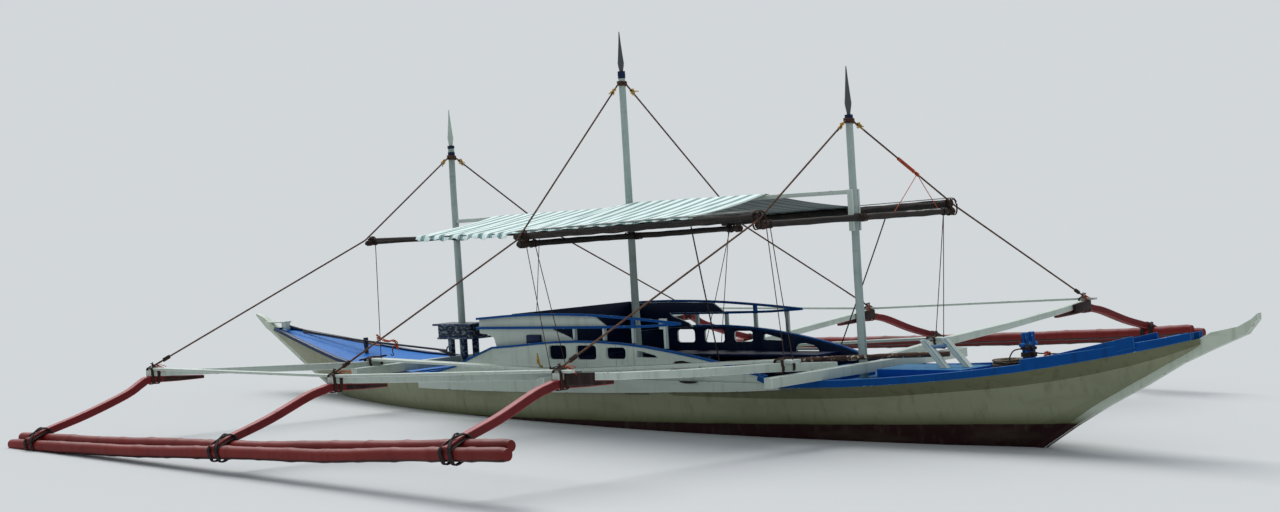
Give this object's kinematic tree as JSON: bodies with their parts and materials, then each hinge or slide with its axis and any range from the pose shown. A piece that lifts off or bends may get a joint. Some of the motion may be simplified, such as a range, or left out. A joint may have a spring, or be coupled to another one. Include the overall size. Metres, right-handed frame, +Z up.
{
  "type": "double-outrigger motor canoe",
  "caption": "Planked double-outrigger motor canoe with arched passenger well sides, bamboo floats on cross booms, stayed masts and a striped canopy.",
  "frame": {"origin": "amidships on the centreline at the waterline, which is the upper edge of the boot-top", "axes": "+X to the bow, +Y to port, +Z up"},
  "size_m": [14.545, 11.532, 4.955],
  "materials": {
    "hull_white": "brushed white marine paint, greenish in the shade",
    "boot_top": "dark maroon bottom paint",
    "blue_trim": "blue gloss marine paint, worn at the edges",
    "stern_blue": "sky blue deck paint",
    "navy_inner": "dark navy paint",
    "deck_aqua": "pale blue-green deck paint, chalky",
    "outrigger_red": "brick red paint on bamboo and timber",
    "brown_timber": "bare brown pole",
    "dark_iron": "dark grey paint",
    "striped_cloth": "mint and white striped tarpaulin",
    "rope": "weathered fibre rope",
    "bronze": "cast bronze"
  },
  "bodies": {
    "root": {"hull_bottom": "boot_top", "hull_topsides": "hull_white", "keel_and_stem": "hull_white", "stern_timber": "hull_white", "ridge_pole_aft": "hull_white", "ridge_pole_fore": "hull_white", "boom_aft": "hull_white", "boom_mid": "hull_white", "boom_fore": "hull_white", "mast_aft": "hull_white", "mast_mid": "hull_white", "mast_fore": "hull_white", "arch_cap_port": "blue_trim", "handrail_port": "blue_trim", "upper_strake_port": "hull_white", "well_side_aft_port": "hull_white", "well_side_mid_port": "hull_white", "well_side_next_port": "hull_white", "well_side_wedge_port": "hull_white", "well_side_fore_port": "hull_white", "cabin_panel_port": "hull_white", "head_rail_port": "hull_white", "side_plank_port": "hull_white", "float_port": "outrigger_red", "eave_pole_port": "brown_timber", "arch_cap_starboard": "blue_trim", "handrail_starboard": "blue_trim", "upper_strake_starboard": "hull_white", "well_side_aft_starboard": "hull_white", "well_side_mid_starboard": "hull_white", "well_side_next_starboard": "hull_white", "well_side_wedge_starboard": "hull_white", "well_side_fore_starboard": "hull_white", "cabin_panel_starboard": "hull_white", "head_rail_starboard": "hull_white", "side_plank_starboard": "hull_white", "float_starboard": "outrigger_red", "eave_pole_starboard": "brown_timber", "engine_block": "dark_iron", "well_floor": "navy_inner", "mast_box": "navy_inner", "stern_gunwales": "blue_trim", "fore_gunwales": "blue_trim", "fore_bulkhead": "blue_trim", "hatch_fore": "blue_trim", "bow_bitts": "blue_trim", "stern_deck": "stern_blue", "fore_deck": "deck_aqua", "yard_aft": "brown_timber", "yard_mid": "brown_timber", "yard_fore": "brown_timber", "fore_spar": "brown_timber", "canopy_aft": "striped_cloth", "canopy_fore": "striped_cloth", "stays_aft": "rope", "stays_mid": "rope", "stays_fore": "rope", "rope_coil": "rope"},
    "rudder": {"rudder": "dark_iron"},
    "propeller": {"propeller": "bronze"}
  },
  "joints": [
    {"name": "rudder_turn", "type": "hinge", "parent": "root", "child": "rudder", "pos_m": [-4.75, 0, 0], "axis": [0, 0, 1], "range_deg": [-30, 30]},
    {"name": "propeller_spin", "type": "hinge", "parent": "root", "child": "propeller", "pos_m": [-4.25, 0, -0.5284], "axis": [-0.9966, 0, -0.082], "continuous": true}
  ]
}
